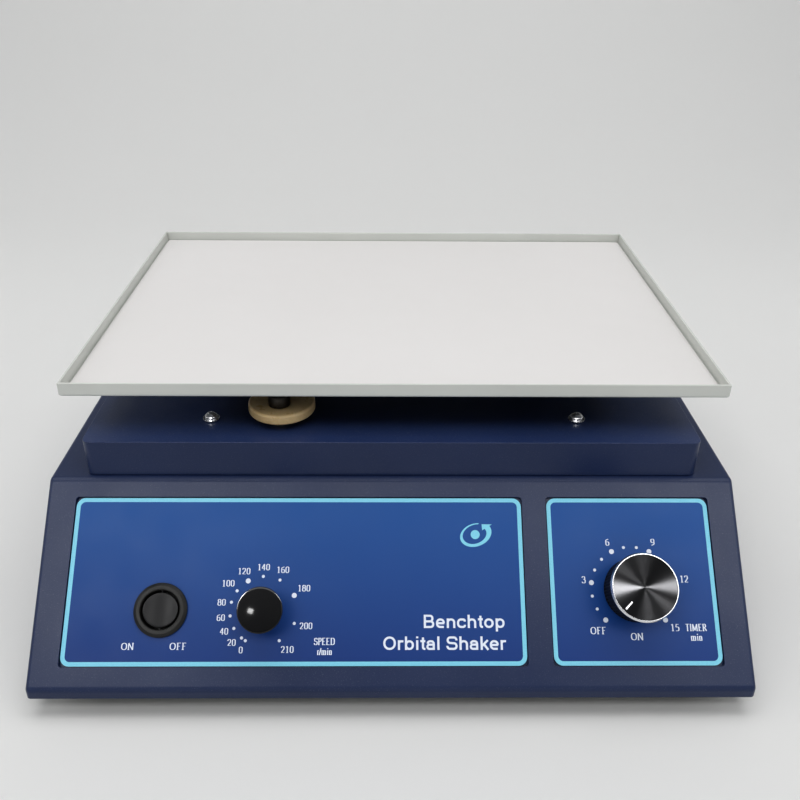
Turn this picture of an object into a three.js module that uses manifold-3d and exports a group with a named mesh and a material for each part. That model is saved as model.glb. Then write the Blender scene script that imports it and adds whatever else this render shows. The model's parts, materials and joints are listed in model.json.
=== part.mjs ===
// Orbital shaker: a folded sheet-metal console with two control dials and a round power rocker,
// a raised deck, and a shallow rectangular tray carried on three eccentric cranks.
// Millimetres, +Z up, +X to the right of the control panel, -Y towards the operator.
// The origin is on the floor under the middle of the console.
import * as THREE from "three";
import { mergeVertices } from "three/addons/utils/BufferGeometryUtils.js";
import Module from "manifold-3d";

const wasm = await Module();
wasm.setup();

// ---- Driving dimensions ----
const BODY_W = 321;
const FRONT_Y = -142;
const BACK_Y = 139.5;
const FOOT_H = 10;
const LIP_Z = FOOT_H + 4.9;
const KINK_Y = -73.9;
const KINK_Z = FOOT_H + 69.9;
const SHEET = 1.5;
const FOLD_R = 2;
const GAP = 0.3;

const DECK_W = 287.6;
const DECK_FRONT_Y = -71.5;
const DECK_BACK_Y = 132;
const DECK_TOP_Z = FOOT_H + 88.26;
const DECK_SCREW_X = [-87.4, 88.8];
const DECK_SCREW_Y = [-50.4, 108.5];
const DECK_CORNER_R = 4;
const DECK_FOLD_R = 2.5;

const TRAY_W = 300;
const TRAY_D = 210;
const TRAY_SHEET = 1;
const TRAY_BOTTOM_Z = FOOT_H + 111.9;
const TRAY_TOP_Z = FOOT_H + 118.84;
const TRAY_BEND_R = 1.6;
const MAT_T = 0.6;
const ORBIT_Y = 23.7;
const THROW = 10;
const REST_ANGLE = THREE.MathUtils.degToRad(83.5);

const CRANKS = [
  { tag: "drive", x: 80, y: 0 },
  { tag: "front", x: -54, y: -75.4 },
  { tag: "rear", x: -54, y: 75.4 },
];
const SHAFT_R = 5;
const PIN_R = 3;
const BOLT_R = 3;
const WHEEL_R = 16;
const WHEEL_T = 5;
const WHEEL_SHIFT = 4.4;
const WHEEL_Z = DECK_TOP_Z + 4;
const BOLT_HEAD_R = 5.25;
const BOLT_HEAD_H = 6;

const PLATE_Z = 70;
const PLATE_T = 3;
const MOTOR_X = -8;
const DRIVE_PULLEY_R = 32;
const MOTOR_PULLEY_R = 14;
const BELT_Z = 82;

const SPEED_AT = [-58.1, 33.6];
const TIMER_AT = [109.6, 42.8];
const SWITCH_AT = [-104, 34.2];
const ROCKER_TILT = THREE.MathUtils.degToRad(10);
const TIMER_KNOB_H = 16;
const LABELS = {
  left: { x0: -146.6, x1: 59.7, plate0: -152, plate1: 65.3 },
  right: { x0: 71.6, x1: 146.9, plate0: 65.9, plate1: 152.3 },
};
const LABEL_S0 = 10.1;
const LABEL_S1 = 84.9;
const LABEL_TOP = -0.7;

const INLET_X = 105;
const FUSE_X = 60;
const REAR_Z = 42;

// ---- Frames ----
const SLOPE = Math.atan2(KINK_Z - LIP_Z, KINK_Y - FRONT_Y);
const ALONG = new THREE.Vector3(0, Math.cos(SLOPE), Math.sin(SLOPE));
const NORMAL = new THREE.Vector3(0, -Math.sin(SLOPE), Math.cos(SLOPE));
const X_AXIS = new THREE.Vector3(1, 0, 0);
const Y_AXIS = new THREE.Vector3(0, 1, 0);
const Z_AXIS = new THREE.Vector3(0, 0, 1);

// The control slope's frame: x across, y up the slope, z out of it.
const SLOPE_FRAME = new THREE.Matrix4().makeBasis(X_AXIS, ALONG, NORMAL);
SLOPE_FRAME.setPosition(0, FRONT_Y, LIP_Z);

// Where a crank's shaft stands, and where its pin is at rest.
function shaftAt(crank) {
  return [crank.x, ORBIT_Y + crank.y];
}

function pinAt(crank) {
  const [x, y] = shaftAt(crank);
  return [x + THROW * Math.cos(REST_ANGLE), y + THROW * Math.sin(REST_ANGLE)];
}

// ---- Solids and booleans ----
function solidOf(geometry) {
  const bare = geometry.index ? geometry.toNonIndexed() : geometry.clone();
  bare.deleteAttribute("normal");
  bare.deleteAttribute("uv");
  const merged = mergeVertices(bare, 1e-4);
  return new wasm.Manifold(
    new wasm.Mesh({
      numProp: 3,
      vertProperties: merged.attributes.position.array,
      triVerts: new Uint32Array(merged.index.array),
    }),
  );
}

function geometryOf(solid) {
  const mesh = solid.getMesh();
  const indexed = new THREE.BufferGeometry();
  indexed.setAttribute("position", new THREE.BufferAttribute(mesh.vertProperties, 3));
  indexed.setIndex(new THREE.BufferAttribute(mesh.triVerts, 1));
  const geometry = indexed.toNonIndexed();
  geometry.computeVertexNormals();
  return geometry;
}

function cut(geometry, tools) {
  let solid = solidOf(geometry);
  for (const tool of tools) {
    solid = solid.subtract(solidOf(tool));
  }
  return geometryOf(solid);
}

function join(geometries) {
  let solid = solidOf(geometries[0]);
  for (const other of geometries.slice(1)) {
    solid = solid.add(solidOf(other));
  }
  return geometryOf(solid);
}

function common(geometries) {
  let solid = solidOf(geometries[0]);
  for (const other of geometries.slice(1)) {
    solid = solid.intersect(solidOf(other));
  }
  return geometryOf(solid);
}

// ---- Profiles ----
// A polygon with the corner at each point rounded by its own radius.
function filleted(points, radii, steps = 3) {
  const outline = [];
  const count = points.length;
  for (let i = 0; i < count; i += 1) {
    const corner = new THREE.Vector2(...points[i]);
    const radius = Array.isArray(radii) ? radii[i] : radii;
    if (radius === 0) {
      outline.push(corner);
      continue;
    }
    const before = new THREE.Vector2(...points[(i + count - 1) % count]).sub(corner).normalize();
    const after = new THREE.Vector2(...points[(i + 1) % count]).sub(corner).normalize();
    const half = Math.acos(THREE.MathUtils.clamp(before.dot(after), -1, 1)) / 2;
    const middle = before.clone().add(after).normalize();
    const centre = corner.clone().addScaledVector(middle, radius / Math.sin(half));
    const first = corner.clone().addScaledVector(before, radius / Math.tan(half)).sub(centre);
    const last = corner.clone().addScaledVector(after, radius / Math.tan(half)).sub(centre);
    const sweep = Math.atan2(first.cross(last), first.dot(last));
    for (let k = 0; k <= steps; k += 1) {
      const turned = first.clone().rotateAround(new THREE.Vector2(), (sweep * k) / steps);
      outline.push(turned.add(centre));
    }
  }
  return new THREE.Shape(outline);
}

function rectangle(x0, x1, y0, y1, radii = 0, steps = 3) {
  return filleted([[x0, y0], [x1, y0], [x1, y1], [x0, y1]], radii, steps);
}

function extruded(shape, depth) {
  return new THREE.ExtrudeGeometry(shape, { depth, bevelEnabled: false, curveSegments: 1 });
}

// Extrusions along the row's axes: the profile is (y, z), (x, z) or (x, y).
function alongX(shape, x0, x1) {
  const place = new THREE.Matrix4().makeBasis(Y_AXIS, Z_AXIS, X_AXIS).setPosition(x0, 0, 0);
  return extruded(shape, x1 - x0).applyMatrix4(place);
}

function alongY(shape, y0, y1) {
  const back = Y_AXIS.clone().negate();
  const place = new THREE.Matrix4().makeBasis(X_AXIS, Z_AXIS, back).setPosition(0, y1, 0);
  return extruded(shape, y1 - y0).applyMatrix4(place);
}

function alongZ(shape, z0, z1) {
  return extruded(shape, z1 - z0).translate(0, 0, z0);
}

// A block rounded along its upright edges, its top edges and its bottom edges.
function softBlock(x, y, z, upright, top, bottom) {
  const parts = [alongZ(rectangle(...x, ...y, upright), ...z)];
  const edges = [bottom, bottom, top, top];
  if (top > 0 || bottom > 0) {
    parts.push(alongX(rectangle(...y, ...z, edges), ...x));
    parts.push(alongY(rectangle(...x, ...z, edges), ...y));
  }
  return parts.length > 1 ? common(parts) : parts[0];
}

function block(x0, x1, y0, y1, z0, z1) {
  const box = new THREE.BoxGeometry(x1 - x0, y1 - y0, z1 - z0);
  return box.translate((x0 + x1) / 2, (y0 + y1) / 2, (z0 + z1) / 2);
}

function rod(radius, z0, z1, x = 0, y = 0, segments = 14) {
  const cylinder = new THREE.CylinderGeometry(radius, radius, z1 - z0, segments);
  return cylinder.rotateX(Math.PI / 2).translate(x, y, (z0 + z1) / 2);
}

// A profile of [radius, height] points turned about +Z; it starts and ends on the axis.
function turned(profile, segments = 16) {
  const points = profile.map(([radius, height]) => new THREE.Vector2(radius, height));
  return new THREE.LatheGeometry(points, segments).rotateX(Math.PI / 2);
}

// A ring profile that closes on itself and never meets the axis.
function ring(profile, segments = 16) {
  return turned([...profile, profile[0]], segments);
}

// ---- Scene graph ----
const shaker = new THREE.Group();
const slope = new THREE.Group();
slope.applyMatrix4(SLOPE_FRAME);
shaker.add(slope);

const FINISH = {
  navy: { color: 0x2b3150, roughness: 0.42, metalness: 0.15 },
  steel: { color: 0xa9abad, roughness: 0.35, metalness: 0.9 },
  chrome: { color: 0xd8d8da, roughness: 0.12, metalness: 1 },
  zinc: { color: 0x9a9c98, roughness: 0.5, metalness: 0.7 },
  trayGrey: { color: 0xb3b4b0, roughness: 0.45, metalness: 0.1 },
  matWhite: { color: 0xe0e0de, roughness: 0.5, metalness: 0 },
  label: { color: 0x2c5da0, roughness: 0.3, metalness: 0 },
  black: { color: 0x101012, roughness: 0.35, metalness: 0 },
  gloss: { color: 0x08080a, roughness: 0.12, metalness: 0 },
  rubber: { color: 0x17171a, roughness: 0.85, metalness: 0 },
  nylon: { color: 0xb98a52, roughness: 0.55, metalness: 0 },
  blackSteel: { color: 0x15151a, roughness: 0.4, metalness: 0.6 },
  board: { color: 0x1f5a34, roughness: 0.5, metalness: 0 },
};

function add(name, geometry, finish, parent = shaker) {
  const mesh = new THREE.Mesh(geometry, new THREE.MeshStandardMaterial(FINISH[finish]));
  mesh.name = name;
  parent.add(mesh);
  return mesh;
}

// ---- Console housing ----
// The folded console, drawn a given distance inside its outer skin.
function consoleForm(inset) {
  const [c, s] = [Math.cos(SLOPE), Math.sin(SLOPE)];
  const floor = inset > 0 ? FOOT_H - 5 : FOOT_H;
  const low = (inset * (1 - s)) / c;
  const high = (KINK_Z - LIP_Z - inset * (1 - c)) / s;
  const side = [
    [FRONT_Y + inset, floor],
    [BACK_Y - inset, floor],
    [BACK_Y - inset, KINK_Z - inset],
    [FRONT_Y + high * c + inset * s, KINK_Z - inset],
    [FRONT_Y + inset, LIP_Z + low * s - inset * c],
  ];
  const radius = FOLD_R - inset;
  const half = BODY_W / 2 - inset;
  const top = rectangle(-half, half, floor, KINK_Z - inset, [0, 0, radius, radius]);
  const plan = rectangle(-half, half, FRONT_Y + inset, BACK_Y - inset, radius);
  const across = rectangle(-half, half, -260, -inset, [0, 0, radius, radius]);
  const downhill = ALONG.clone().negate();
  const place = new THREE.Matrix4().makeBasis(X_AXIS, NORMAL, downhill);
  const start = new THREE.Vector3(0, FRONT_Y, LIP_Z).addScaledVector(ALONG, 400);
  place.setPosition(start);
  return common([
    alongX(filleted(side, [0, 0, radius, radius, radius]), -half, half),
    alongY(top, FRONT_Y - 1, BACK_Y + 1),
    alongZ(plan, floor, KINK_Z + 1),
    extruded(across, 620).applyMatrix4(place),
  ]);
}

function slopeCut(shape, n0, n1) {
  return alongZ(shape, n0, n1).applyMatrix4(SLOPE_FRAME);
}

const windows = Object.values(LABELS).map(({ x0, x1 }) =>
  slopeCut(rectangle(x0 - 0.4, x1 + 0.4, LABEL_S0 - 0.4, LABEL_S1 + 0.4, 1.5), -6, 6),
);
const rearVents = [];
for (let i = 0; i < 8; i += 1) {
  const x = -118 + i * 12;
  rearVents.push(alongY(rectangle(x, x + 4, 28, 58, 1.9, 2), BACK_Y - 4, BACK_Y + 4));
}
const inletCut = alongY(
  rectangle(INLET_X - 13.9, INLET_X + 13.9, REAR_Z - 10.2, REAR_Z + 10.2, 2),
  BACK_Y - 4,
  BACK_Y + 4,
);
const fuseCut = rod(6.7, -4, 4).rotateX(Math.PI / 2).translate(FUSE_X, BACK_Y, REAR_Z);
const deckWell = alongZ(rectangle(-130, 130, -62, 122, 5), KINK_Z - 6, KINK_Z + 6);
add(
  "upper_housing",
  cut(consoleForm(0), [consoleForm(SHEET), ...windows, ...rearVents, inletCut, fuseCut, deckWell]),
  "navy",
);

// ---- Deck cover ----
const deckHalf = DECK_W / 2;
const deckOuter = softBlock(
  [-deckHalf, deckHalf],
  [DECK_FRONT_Y, DECK_BACK_Y],
  [KINK_Z + GAP, DECK_TOP_Z],
  DECK_CORNER_R,
  DECK_FOLD_R,
  0,
);
const deckInner = softBlock(
  [-deckHalf + SHEET, deckHalf - SHEET],
  [DECK_FRONT_Y + SHEET, DECK_BACK_Y - SHEET],
  [KINK_Z - 5, DECK_TOP_Z - SHEET],
  DECK_CORNER_R - SHEET,
  DECK_FOLD_R - SHEET,
  0,
);
const deckHoles = CRANKS.map((crank) => rod(5.6, DECK_TOP_Z - 4, DECK_TOP_Z + 4, ...shaftAt(crank), 24));
const screwSpots = DECK_SCREW_Y.flatMap((y) => DECK_SCREW_X.map((x) => [x, y]));
for (const [x, y] of screwSpots) {
  deckHoles.push(rod(2.3, DECK_TOP_Z - 4, DECK_TOP_Z + 4, x, y, 16));
}
add("deck_cover", cut(deckOuter, [deckInner, ...deckHoles]), "navy");

const screwTags = ["fl", "fr", "rl", "rr"];
screwSpots.forEach(([x, y], i) => {
  const z = DECK_TOP_Z + GAP;
  const screw = turned(
    [[0, z - 14], [2, z - 14], [2, z], [4, z], [4, z + 0.7], [3.1, z + 0.7], [3, z + 1.9],
      [2, z + 2.9], [0, z + 3.2]],
    16,
  );
  const cross = [block(-1.8, 1.8, -0.4, 0.4, z + 1.6, z + 5), block(-0.4, 0.4, -1.8, 1.8, z + 1.6, z + 5)];
  add("deck_screw_" + screwTags[i], cut(screw, cross).translate(x, y, 0), "chrome");
});

// ---- Base plate and feet ----
const footSpots = [[-136, -118], [136, -118], [-136, 116], [136, 116]];
const baseCuts = footSpots.map(([x, y]) => rod(2.3, FOOT_H - 4, FOOT_H + 4, x, y, 16));
for (let row = 0; row < 2; row += 1) {
  for (let i = 0; i < 7; i += 1) {
    const x = -60 + i * 20;
    const y = -82 + row * 160;
    baseCuts.push(alongZ(rectangle(x - 3, x + 3, y - 19, y + 19, 2.9, 2), FOOT_H - 4, FOOT_H + 4));
  }
}
const basePlate = alongZ(
  rectangle(-BODY_W / 2 + 1.8, BODY_W / 2 - 1.8, FRONT_Y + 1.8, BACK_Y - 1.8, 1.2),
  FOOT_H,
  FOOT_H + SHEET,
);
add("base_plate", cut(basePlate, baseCuts), "zinc");
footSpots.forEach(([x, y], i) => {
  const top = FOOT_H - GAP;
  const foot = turned([[0, 3], [4.5, 3], [4.5, 0], [9.6, 0], [10.6, 1], [12, top], [0, top]], 20);
  add("foot_" + screwTags[i], foot.translate(x, y, 0), "rubber");
});

// ---- Control panels ----
const panelHoles = {
  left: [[...SWITCH_AT, 10.1], [...SPEED_AT, 4.8]],
  right: [[...TIMER_AT, 5.8]],
};
for (const [tag, { x0, x1, plate0, plate1 }] of Object.entries(LABELS)) {
  const holes = panelHoles[tag].map(([x, s, radius]) => rod(radius, -8, 8, x, s, 24));
  const label = alongZ(rectangle(x0, x1, LABEL_S0, LABEL_S1, 4, 6), LABEL_TOP - 0.8, LABEL_TOP);
  const plate = alongZ(rectangle(plate0, plate1, 4.5, 90.3, 2), -3.3, -1.8);
  add("label_" + tag, cut(label, holes), "label", slope);
  add("control_plate_" + tag, cut(plate, holes), "navy", slope);
}

// Round rocker switch: a flanged barrel with a rocker hung on trunnions across it.
const PIVOT_N = -0.5;
const switchBarrel = turned(
  [[0, -20], [9.8, -20], [9.8, LABEL_TOP + GAP], [12, LABEL_TOP + GAP], [12, 0.6], [11.4, 1.2],
    [9.2, 1.4], [8.65, 1], [8.65, -8], [0, -8]],
  28,
);
const trunnionBore = rod(1.15, -9.3, 9.3, 0, 0, 16).rotateX(Math.PI / 2).translate(0, 0, PIVOT_N);
add("switch_body", cut(switchBarrel, [trunnionBore]).translate(...SWITCH_AT, 0), "black", slope);
const rockerDisc = cut(
  turned([[0, -2.6], [7, -2.6], [7.9, -1.2], [7.9, 1.9], [7.4, 2.4], [0, 2.4]], 28),
  [rod(26, -12, 12, 0, 0, 60).rotateX(Math.PI / 2).translate(0, 0, 27.1)],
);
const rocker = join([rockerDisc, rod(1, -9.1, 9.1, 0, 0, 16).rotateX(Math.PI / 2)]);
rocker.rotateY(ROCKER_TILT).translate(...SWITCH_AT, PIVOT_N);
add("power_rocker", rocker, "black", slope);

// Speed dial: potentiometer, its shaft and a domed knob.
const knobSeat = LABEL_TOP + 0.5;
add(
  "potentiometer",
  turned([[0, -14], [8, -14], [8, -3.6], [4.5, -3.6], [4.5, 1.5], [3.3, 1.5], [3.3, -10], [0, -10]])
    .translate(...SPEED_AT, 0),
  "steel",
  slope,
);
add("potentiometer_shaft", rod(3, -9.7, 8.6, ...SPEED_AT), "steel", slope);
const speedKnob = turned(
  [[0, 9.2], [3.15, 9.2], [3.15, 2.4], [5, 2.4], [5, 0], [8.2, 0], [8.5, 2.5], [9.5, 7],
    [10.3, 10.4], [10.1, 11.4], [9.1, 12.3], [5.5, 13.2], [0, 13.7]],
  28,
);
add("speed_knob", speedKnob.translate(...SPEED_AT, knobSeat), "gloss", slope);

// Timer dial: clockwork body, its shaft and a knurled knob with a turned cap and a pointer.
const timerBody = join([
  alongZ(rectangle(-18, 18, -18, 18, 3), -22, -3.6),
  rod(5.5, -4, 1.5),
]);
const timerBore = rod(3.3, -18, 4);
add("timer_body", cut(timerBody, [timerBore]).translate(...TIMER_AT, 0), "black", slope);
add("timer_shaft", rod(3, -17.7, 9.4, ...TIMER_AT), "steel", slope);
const knurl = [];
for (let i = 0; i < 72; i += 1) {
  const angle = (i / 72) * Math.PI * 2;
  const radius = i % 2 === 0 ? 14.2 : 13.7;
  knurl.push(new THREE.Vector2(radius * Math.cos(angle), radius * Math.sin(angle)));
}
const timerBore2 = turned([[0, -1], [6, -1], [6, 2.4], [3.15, 2.4], [3.15, 10], [0, 10]]);
const timerCollar = turned([[0, 0], [13.9, 0], [13.9, 1.4], [0, 1.4]], 36);
const timerGrip = alongZ(new THREE.Shape(knurl), 1.4, TIMER_KNOB_H);
const timerKnob = cut(join([timerCollar, timerGrip]), [
  timerBore2,
  rod(12.9, TIMER_KNOB_H - 1, TIMER_KNOB_H + 1, 0, 0, 32),
]);
add("timer_knob", timerKnob.translate(...TIMER_AT, knobSeat), "black", slope);
const pointerTurn = THREE.MathUtils.degToRad(225);
const capSeat = knobSeat + TIMER_KNOB_H - 0.8;
const timerCap = turned([[0, 0], [12.6, 0], [12.6, 1.1], [15, 1.1], [15, 1.5], [14.2, 2.6],
  [13.5, 2.7], [0, 2.5]], 32);
const pointerSlot = block(8.5, 13.4, -0.75, 0.75, 1.7, 4).rotateZ(pointerTurn);
add(
  "timer_knob_cap",
  cut(timerCap, [pointerSlot]).translate(...TIMER_AT, capSeat),
  "blackSteel",
  slope,
);
add(
  "timer_pointer",
  block(8.7, 13.2, -0.55, 0.55, 1.9, 2.8).rotateZ(pointerTurn).translate(...TIMER_AT, capSeat),
  "steel",
  slope,
);

// Control board on the base plate behind the panels.
add(
  "control_board",
  join([
    block(-140, -34, -84, -82.4, 13.5, 60),
    block(-136, -100, -83, -62, 20, 50),
    rod(7, 0, 22, 0, 0, 20).rotateX(-Math.PI / 2).translate(-84, -83, 44),
    rod(5, 0, 16, 0, 0, 20).rotateX(-Math.PI / 2).translate(-66, -83, 40),
    block(-92, -50, -83, -74, 18, 30),
  ]),
  "board",
);

// ---- Mechanism plate with its stand-offs under the deck ----
const plateHoles = CRANKS.map((crank) => rod(9, PLATE_Z - 5, PLATE_Z + 8, ...shaftAt(crank)));
plateHoles.push(rod(13, PLATE_Z - 5, PLATE_Z + 8, MOTOR_X, ORBIT_Y));
const postTop = DECK_TOP_Z - SHEET - GAP;
for (const [x, y] of screwSpots) {
  plateHoles.push(rod(2.3, postTop - 15, postTop + 5, x, y, 16));
}
const posts = screwSpots.map(([x, y]) => rod(5.5, PLATE_Z + 1, postTop, x, y, 12));
const plateSheet = alongZ(rectangle(-105, 105, -68, 122, 8), PLATE_Z, PLATE_Z + PLATE_T);
add("mechanism_plate", cut(join([plateSheet, ...posts]), plateHoles), "zinc");

// ---- Cranks: bearing housing, shaft, wheel, clamp bolt and eccentric pin ----
const wheelTop = WHEEL_Z + WHEEL_T;
const bearingTop = PLATE_Z - GAP;
for (const crank of CRANKS) {
  const [x, y] = shaftAt(crank);
  const [px, py] = pinAt(crank);
  const housing = ring([[SHAFT_R + GAP, 40], [14, 40], [14, bearingTop - 4], [20, bearingTop - 4],
    [20, bearingTop], [SHAFT_R + GAP, bearingTop]]);
  add("bearing_housing_" + crank.tag, housing.translate(x, y, 0), "steel");

  const top = WHEEL_Z - GAP;
  const shaft = turned([[0, 36], [SHAFT_R, 36], [SHAFT_R, top],
    [BOLT_R + GAP, top], [BOLT_R + GAP, top - 16], [0, top - 16]]);
  add("crank_shaft_" + crank.tag, shaft.translate(x, y, 0), "steel");

  // The disc sits off its shaft, towards the pin.
  const wheel = turned([[0, WHEEL_Z], [WHEEL_R - 1, WHEEL_Z], [WHEEL_R, WHEEL_Z + 1], [WHEEL_R, wheelTop - 1.8],
    [WHEEL_R - 0.5, wheelTop - 0.6], [WHEEL_R - 1.8, wheelTop], [0, wheelTop]], 28);
  wheel.translate(WHEEL_SHIFT * Math.cos(REST_ANGLE), WHEEL_SHIFT * Math.sin(REST_ANGLE), 0);
  const wheelHoles = [
    rod(BOLT_R + GAP, WHEEL_Z - 5, wheelTop + 5),
    rod(PIN_R + GAP, WHEEL_Z - 5, wheelTop + 5, px - x, py - y),
  ];
  add("crank_wheel_" + crank.tag, cut(wheel, wheelHoles).translate(x, y, 0), "nylon");

  const seat = wheelTop + GAP;
  const headTop = seat + BOLT_HEAD_H;
  const bolt = turned([[0, top - 14], [BOLT_R, top - 14], [BOLT_R, seat], [BOLT_HEAD_R, seat],
    [BOLT_HEAD_R, headTop - 0.5], [BOLT_HEAD_R - 0.5, headTop], [0, headTop]], 20);
  const socket = rod(2.9, headTop - 3, headTop + 2, 0, 0, 6);
  add("crank_bolt_" + crank.tag, cut(bolt, [socket]).translate(x, y, 0), "blackSteel");
  add("crank_pin_" + crank.tag, rod(PIN_R, WHEEL_Z, TRAY_BOTTOM_Z - 1.1, px, py), "steel");
}

// ---- V-belt drive ----
// A one-groove V pulley about its own axis.
function pulley(radius, bore, segments) {
  return ring([[bore, -6.5], [radius, -6.5], [radius, -4.6], [radius - 6, -2.6], [radius - 6, 2.6],
    [radius, 4.6], [radius, 6.5], [bore, 6.5]], segments);
}

const [driveX, driveY] = shaftAt(CRANKS[0]);
const drivePulley = pulley(DRIVE_PULLEY_R, SHAFT_R + 0.15, 24).translate(driveX, driveY, BELT_Z);
add("drive_pulley", drivePulley, "steel");
const motorPulley = pulley(MOTOR_PULLEY_R, 4.15, 18).translate(MOTOR_X, driveY, BELT_Z);
add("motor_pulley", motorPulley, "steel");
add("motor_shaft", rod(4, 58.5, 90, MOTOR_X, driveY), "steel");

// The belt: a trapezoid section carried round both pulleys along their outer tangents.
function beltLoop() {
  const lean = Math.acos((MOTOR_PULLEY_R - DRIVE_PULLEY_R) / (driveX - MOTOR_X));
  const stations = [];
  for (let i = 0; i <= 18; i += 1) {
    stations.push([driveX, DRIVE_PULLEY_R, -lean + (2 * lean * i) / 18]);
  }
  for (let i = 0; i <= 10; i += 1) {
    stations.push([MOTOR_X, MOTOR_PULLEY_R, lean + (2 * (Math.PI - lean) * i) / 10]);
  }
  const section = [[-0.5, -4], [-0.5, 4], [-5.2, 2.45], [-5.2, -2.45]];
  const positions = [];
  for (const [x, radius, angle] of stations) {
    for (const [out, z] of section) {
      const reach = radius + out;
      positions.push(x + reach * Math.cos(angle), driveY + reach * Math.sin(angle), BELT_Z + z);
    }
  }
  const faces = [];
  for (let i = 0; i < stations.length; i += 1) {
    const next = (i + 1) % stations.length;
    for (let k = 0; k < 4; k += 1) {
      const [a, b] = [i * 4 + k, i * 4 + ((k + 1) % 4)];
      const [c, d] = [next * 4 + k, next * 4 + ((k + 1) % 4)];
      faces.push(a, c, d, a, d, b);
    }
  }
  const geometry = new THREE.BufferGeometry();
  geometry.setAttribute("position", new THREE.Float32BufferAttribute(positions, 3));
  geometry.setIndex(faces);
  geometry.computeVertexNormals();
  return geometry;
}

add("drive_belt", beltLoop(), "rubber");

const motorTop = PLATE_Z - GAP;
const gearmotor = turned([[0, 18], [28, 18], [30, 20], [30, 50], [33, 50], [33, motorTop], [12, motorTop],
  [12, PLATE_Z + PLATE_T], [4.3, PLATE_Z + PLATE_T], [4.3, 58], [0, 58]], 20);
add("gearmotor", gearmotor.translate(MOTOR_X, driveY, 0), "steel");

const weightSector = new THREE.Shape();
weightSector.absarc(0, 0, 28, Math.PI + 0.35, 2 * Math.PI - 0.35, false);
weightSector.absarc(0, 0, 9, 2 * Math.PI, Math.PI * 3, false);
const weightPlate = new THREE.ExtrudeGeometry(weightSector, {
  depth: 5,
  bevelEnabled: false,
  curveSegments: 10,
});
const weight = cut(weightPlate, [rod(SHAFT_R + 0.15, -3, 8)]);
weight.rotateZ(REST_ANGLE - Math.PI / 2).translate(driveX, driveY, 90.4);
add("counterweight", weight, "blackSteel");

// ---- Tray: pan, mat, carrier plate and the pin bearings under it ----
const tray = new THREE.Group();
tray.position.set(THROW * Math.cos(REST_ANGLE), ORBIT_Y + THROW * Math.sin(REST_ANGLE), 0);
shaker.add(tray);

function trayForm(inset, top) {
  const x = TRAY_W / 2 - inset;
  const y = TRAY_D / 2 - inset;
  return softBlock([-x, x], [-y, y], [TRAY_BOTTOM_Z + inset, top], 0.9, 0, TRAY_BEND_R - inset);
}

const pan = cut(trayForm(0, TRAY_TOP_Z), [trayForm(TRAY_SHEET, TRAY_TOP_Z + 5)]);
add("tray_pan", pan, "trayGrey", tray);
const matX = TRAY_W / 2 - TRAY_SHEET - 0.8;
const matY = TRAY_D / 2 - TRAY_SHEET - 0.8;
const matZ = TRAY_BOTTOM_Z + TRAY_SHEET + 0.25;
const mat = alongZ(rectangle(-matX, matX, -matY, matY, 1.5), matZ, matZ + MAT_T);
add("tray_mat", mat, "matWhite", tray);

const carrierTop = TRAY_BOTTOM_Z - GAP;
const carrierBottom = carrierTop - 2.3;
const carrierCuts = CRANKS.map((crank) => rod(6, carrierBottom - 4, carrierTop + 4, crank.x, crank.y));
for (const [x0, x1, y0, y1] of [[-20, 60, 32, 60], [-20, 60, -60, -32], [-30, 50, -14, 14]]) {
  carrierCuts.push(alongZ(rectangle(x0, x1, y0, y1, 8), carrierBottom - 4, carrierTop + 4));
}
const carrier = alongZ(rectangle(-84, 106, -92, 92, 14), carrierBottom, carrierTop);
add("tray_carrier", cut(carrier, carrierCuts), "zinc", tray);
for (const crank of CRANKS) {
  const [z0, z1, z2] = [114.6, 116.8, carrierBottom - GAP];
  const bearing = ring([[PIN_R + GAP, z0], [10, z0], [10, z1], [14, z1], [14, z2], [PIN_R + GAP, z2]]);
  add("pin_bearing_" + crank.tag, bearing.translate(crank.x, crank.y, 0), "steel", tray);
}

// ---- Rear panel: power inlet and fuse holder ----
const inletFace = BACK_Y + 2.4;
const inletFlange = rectangle(INLET_X - 25, INLET_X + 25, REAR_Z - 11.5, REAR_Z + 11.5, 4);
const inletBarrel = rectangle(INLET_X - 13.5, INLET_X + 13.5, REAR_Z - 9.8, REAR_Z + 9.8, 1.6);
const [half, tall] = [12.2, 8.2];
const inletMouth = filleted(
  [[-half, -tall], [half, -tall], [half, tall - 4], [half - 4, tall], [-half + 4, tall],
    [-half, tall - 4]].map(([x, z]) => [INLET_X + x, REAR_Z + z]),
  1,
  3,
);
const inletShell = cut(
  join([
    alongY(inletFlange, BACK_Y + GAP, inletFace),
    alongY(inletBarrel, BACK_Y - 18, BACK_Y + GAP + 0.5),
  ]),
  [
    alongY(inletMouth, BACK_Y - 15, inletFace + 2),
    ...[-20, 20].map((x) =>
      rod(1.7, -6, 6, 0, 0, 16).rotateX(Math.PI / 2).translate(INLET_X + x, BACK_Y, REAR_Z),
    ),
  ],
);
const blades = [[-7, -1.5], [0, 2.5], [7, -1.5]].map(([x, z]) =>
  block(INLET_X + x - 1, INLET_X + x + 1, BACK_Y - 16, inletFace - 5, REAR_Z + z - 2, REAR_Z + z + 2),
);
add("power_inlet", join([inletShell, ...blades]), "black");
const fuse = cut(
  turned([[0, -22], [6.2, -22], [6.2, GAP], [9, GAP], [9, 1.2], [7, 1.4], [6.6, 2.4], [0, 2.4]]),
  [block(-4.5, 4.5, -0.6, 0.6, 1.6, 5)],
);
add("fuse_holder", fuse.rotateX(-Math.PI / 2).translate(FUSE_X, BACK_Y, REAR_Z), "black");

export default shaker;
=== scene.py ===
"""Orbital shaker: the finished surfaces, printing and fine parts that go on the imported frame."""

import json
import math

import bmesh
import bpy
from mathutils import Matrix, Vector


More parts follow.
